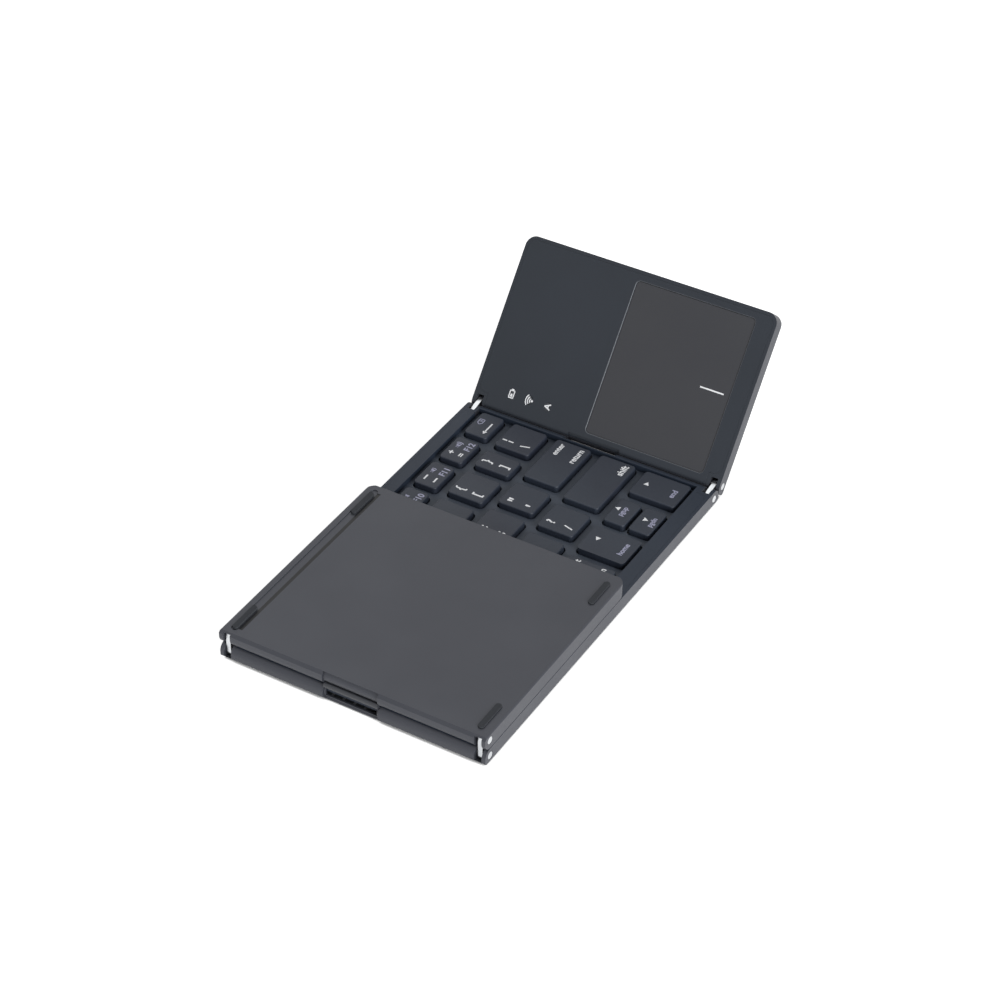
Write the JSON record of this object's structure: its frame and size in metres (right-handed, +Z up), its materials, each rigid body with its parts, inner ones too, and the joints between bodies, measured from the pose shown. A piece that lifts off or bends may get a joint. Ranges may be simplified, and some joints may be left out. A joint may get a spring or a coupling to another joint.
{
  "type": "folding keyboard",
  "caption": "Pocket keyboard in three panels: a middle key panel, a key flap and a touchpad flap, each flap on a double-pivot hinge with metal links.",
  "frame": {"origin": "centre of the middle panel's underside, between its two hinge ends and between its front and back edges", "axes": "+X to the typist's right along the row of panels, +Y away from the typist, +Z up out of the keys of the middle panel"},
  "size_m": [0.1957, 0.098, 0.0531],
  "materials": {
    "shell": "fine satin, dark grey anodised",
    "deck": "fine matt, blue-grey",
    "cover": "fine matt, blue-grey",
    "keycap": "fine matt, blue-grey",
    "touch_surface": "smooth matt",
    "rubber_foot": "matt",
    "dome_rubber": "matt, milky",
    "steel": "satin",
    "hinge_metal": "bright satin",
    "film": "clear film with printed tracks",
    "board": "green lacquer",
    "pouch": "soft foil pouch",
    "light_guide": "clear, slightly milky",
    "sleeve": "satin",
    "ribbon": "black film"
  },
  "bodies": {
    "middle_panel": {"middle_base": "shell", "middle_frame": "deck", "middle_key_plate": "steel", "middle_membrane": "film", "middle_domes": "dome_rubber", "middle_feet": "rubber_foot", "middle_screws": "steel", "switch_magnet": "steel"},
    "left_link_pair": {"left_links": "hinge_metal", "left_hinge_pins": "hinge_metal", "left_cable_sleeve": "sleeve", "left_flex_cable": "ribbon"},
    "left_flap": {"left_base": "shell", "left_frame": "deck", "left_key_plate": "steel", "left_membrane": "film", "left_domes": "dome_rubber", "left_feet": "rubber_foot", "left_screws": "steel"},
    "right_link_pair": {"right_links": "hinge_metal", "right_hinge_pins": "hinge_metal", "right_cable_sleeve": "sleeve", "right_flex_cable": "ribbon"},
    "right_flap": {"right_base": "shell", "right_cover": "cover", "touchpad": "touch_surface", "touch_sensor_board": "board", "main_board": "board", "battery": "pouch", "charging_socket": "hinge_metal", "indicator_lights": "light_guide", "right_feet": "rubber_foot", "right_screws": "steel"},
    "key_zero": {"key_zero": "keycap"},
    "key_minus": {"key_minus": "keycap"},
    "key_plus": {"key_plus": "keycap"},
    "key_backspace": {"key_backspace": "keycap"},
    "key_left_bracket": {"key_left_bracket": "keycap"},
    "key_right_bracket": {"key_right_bracket": "keycap"},
    "key_backslash": {"key_backslash": "keycap"},
    "key_quote": {"key_quote": "keycap"},
    "key_enter": {"key_enter": "keycap"},
    "key_slash": {"key_slash": "keycap"},
    "key_right_shift": {"key_right_shift": "keycap"},
    "key_arrow_left": {"key_arrow_left": "keycap"},
    "key_arrow_up": {"key_arrow_up": "keycap"},
    "key_arrow_down": {"key_arrow_down": "keycap"},
    "key_arrow_right": {"key_arrow_right": "keycap"},
    "key_alt": {"key_alt": "keycap"},
    "key_space": {"key_space": "keycap"},
    "key_row_middle_number": {"middle_number_keys": "keycap"},
    "key_row_middle_upper": {"middle_upper_keys": "keycap"},
    "key_row_middle_home": {"middle_home_keys": "keycap"},
    "key_row_middle_lower": {"middle_lower_keys": "keycap"},
    "key_row_left_number": {"left_number_keys": "keycap"},
    "key_row_left_upper": {"left_upper_keys": "keycap"},
    "key_row_left_home": {"left_home_keys": "keycap"},
    "key_row_left_lower": {"left_lower_keys": "keycap"},
    "key_row_left_bottom": {"left_bottom_keys": "keycap"}
  },
  "joints": [
    {"name": "fold_left_links", "type": "hinge", "parent": "middle_panel", "child": "left_link_pair", "pos_m": [-0.0731, 0, 0.0025], "axis": [0, 1, 0], "range_deg": [-90, 0]},
    {"name": "fold_left_flap", "type": "hinge", "parent": "left_link_pair", "child": "left_flap", "pos_m": [-0.0731, 0, 0.0087], "axis": [0, 1, 0], "range_deg": [-90, 0]},
    {"name": "fold_right_links", "type": "hinge", "parent": "middle_panel", "child": "right_link_pair", "pos_m": [0.0731, 0, 0.0025], "axis": [0, -1, 0], "range_deg": [-11.6, 78.4]},
    {"name": "fold_right_flap", "type": "hinge", "parent": "right_link_pair", "child": "right_flap", "pos_m": [0.07917, 0, 0.00375], "axis": [0, -1, 0], "range_deg": [-38.8, 51.2]},
    {"name": "key_zero_press", "type": "slide", "parent": "middle_panel", "child": "key_zero", "axis": [0, 0, -1], "range_m": [0, 0.0011], "stiffness_N_per_m": 500},
    {"name": "key_minus_press", "type": "slide", "parent": "middle_panel", "child": "key_minus", "axis": [0, 0, -1], "range_m": [0, 0.0011], "stiffness_N_per_m": 500},
    {"name": "key_plus_press", "type": "slide", "parent": "middle_panel", "child": "key_plus", "axis": [0, 0, -1], "range_m": [0, 0.0011], "stiffness_N_per_m": 500},
    {"name": "key_backspace_press", "type": "slide", "parent": "middle_panel", "child": "key_backspace", "axis": [0, 0, -1], "range_m": [0, 0.0011], "stiffness_N_per_m": 500},
    {"name": "key_left_bracket_press", "type": "slide", "parent": "middle_panel", "child": "key_left_bracket", "axis": [0, 0, -1], "range_m": [0, 0.0011], "stiffness_N_per_m": 500},
    {"name": "key_right_bracket_press", "type": "slide", "parent": "middle_panel", "child": "key_right_bracket", "axis": [0, 0, -1], "range_m": [0, 0.0011], "stiffness_N_per_m": 500},
    {"name": "key_backslash_press", "type": "slide", "parent": "middle_panel", "child": "key_backslash", "axis": [0, 0, -1], "range_m": [0, 0.0011], "stiffness_N_per_m": 500},
    {"name": "key_quote_press", "type": "slide", "parent": "middle_panel", "child": "key_quote", "axis": [0, 0, -1], "range_m": [0, 0.0011], "stiffness_N_per_m": 500},
    {"name": "key_enter_press", "type": "slide", "parent": "middle_panel", "child": "key_enter", "axis": [0, 0, -1], "range_m": [0, 0.0011], "stiffness_N_per_m": 500},
    {"name": "key_slash_press", "type": "slide", "parent": "middle_panel", "child": "key_slash", "axis": [0, 0, -1], "range_m": [0, 0.0011], "stiffness_N_per_m": 500},
    {"name": "key_right_shift_press", "type": "slide", "parent": "middle_panel", "child": "key_right_shift", "axis": [0, 0, -1], "range_m": [0, 0.0011], "stiffness_N_per_m": 500},
    {"name": "key_arrow_left_press", "type": "slide", "parent": "middle_panel", "child": "key_arrow_left", "axis": [0, 0, -1], "range_m": [0, 0.0011], "stiffness_N_per_m": 500},
    {"name": "key_arrow_up_press", "type": "slide", "parent": "middle_panel", "child": "key_arrow_up", "axis": [0, 0, -1], "range_m": [0, 0.0011], "stiffness_N_per_m": 500},
    {"name": "key_arrow_down_press", "type": "slide", "parent": "middle_panel", "child": "key_arrow_down", "axis": [0, 0, -1], "range_m": [0, 0.0011], "stiffness_N_per_m": 500},
    {"name": "key_arrow_right_press", "type": "slide", "parent": "middle_panel", "child": "key_arrow_right", "axis": [0, 0, -1], "range_m": [0, 0.0011], "stiffness_N_per_m": 500},
    {"name": "key_alt_press", "type": "slide", "parent": "middle_panel", "child": "key_alt", "axis": [0, 0, -1], "range_m": [0, 0.0011], "stiffness_N_per_m": 500},
    {"name": "key_space_press", "type": "slide", "parent": "middle_panel", "child": "key_space", "axis": [0, 0, -1], "range_m": [0, 0.0011], "stiffness_N_per_m": 500},
    {"name": "key_row_middle_number_press", "type": "slide", "parent": "middle_panel", "child": "key_row_middle_number", "axis": [0, 0, -1], "range_m": [0, 0.0011], "stiffness_N_per_m": 2500},
    {"name": "key_row_middle_upper_press", "type": "slide", "parent": "middle_panel", "child": "key_row_middle_upper", "axis": [0, 0, -1], "range_m": [0, 0.0011], "stiffness_N_per_m": 3000},
    {"name": "key_row_middle_home_press", "type": "slide", "parent": "middle_panel", "child": "key_row_middle_home", "axis": [0, 0, -1], "range_m": [0, 0.0011], "stiffness_N_per_m": 3000},
    {"name": "key_row_middle_lower_press", "type": "slide", "parent": "middle_panel", "child": "key_row_middle_lower", "axis": [0, 0, -1], "range_m": [0, 0.0011], "stiffness_N_per_m": 3000},
    {"name": "key_row_left_number_press", "type": "slide", "parent": "left_flap", "child": "key_row_left_number", "axis": [0, 0, 1], "range_m": [0, 0.0011], "stiffness_N_per_m": 2500},
    {"name": "key_row_left_upper_press", "type": "slide", "parent": "left_flap", "child": "key_row_left_upper", "axis": [0, 0, 1], "range_m": [0, 0.0011], "stiffness_N_per_m": 2500},
    {"name": "key_row_left_home_press", "type": "slide", "parent": "left_flap", "child": "key_row_left_home", "axis": [0, 0, 1], "range_m": [0, 0.0011], "stiffness_N_per_m": 2500},
    {"name": "key_row_left_lower_press", "type": "slide", "parent": "left_flap", "child": "key_row_left_lower", "axis": [0, 0, 1], "range_m": [0, 0.0011], "stiffness_N_per_m": 2000},
    {"name": "key_row_left_bottom_press", "type": "slide", "parent": "left_flap", "child": "key_row_left_bottom", "axis": [0, 0, 1], "range_m": [0, 0.0011], "stiffness_N_per_m": 2500}
  ]
}
